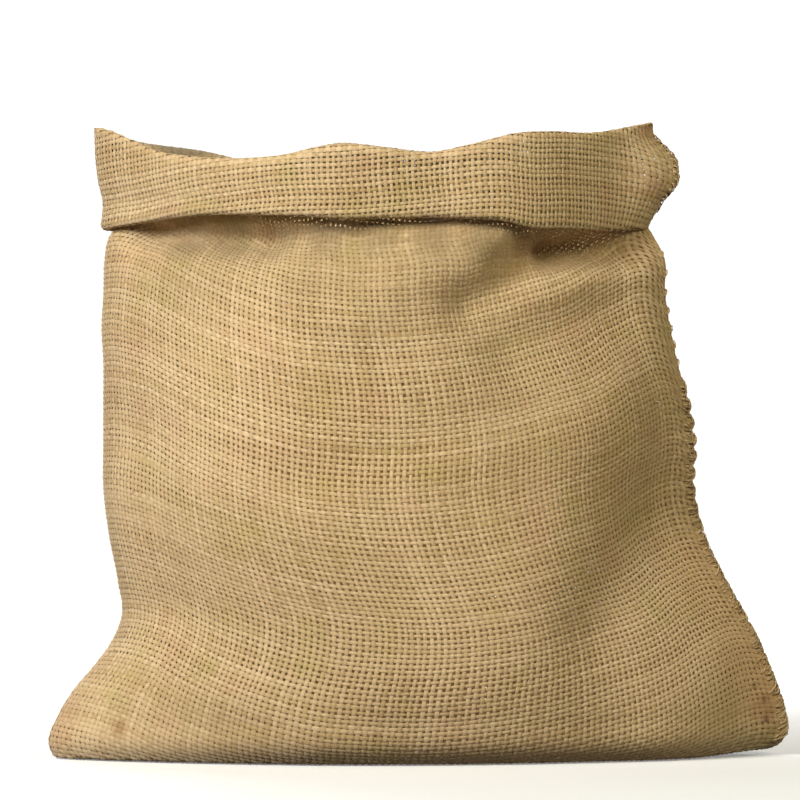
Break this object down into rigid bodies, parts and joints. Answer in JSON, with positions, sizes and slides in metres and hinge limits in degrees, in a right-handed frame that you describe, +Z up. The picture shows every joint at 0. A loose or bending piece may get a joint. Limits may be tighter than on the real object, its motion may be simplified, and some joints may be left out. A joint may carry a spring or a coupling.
{
  "type": "hessian sack",
  "caption": "Small open-mouthed jute sack that stands by itself: folded on one side, whip-sewn on the other, mouth rolled outward twice into a cuff with pointed ears.",
  "frame": {"origin": "The middle of the bounding box seen from above, on the floor that the sack stands on.", "axes": "+X points to the sewn side, across the front; -Y is the front; +Z is up."},
  "size_m": [0.4021, 0.1827, 0.3457],
  "materials": {
    "hessian": "matte open plain-weave jute, undyed",
    "sewing_yarn": "matte jute sewing yarn, undyed"
  },
  "bodies": {
    "root": {"sack": "hessian"}
  },
  "joints": []
}
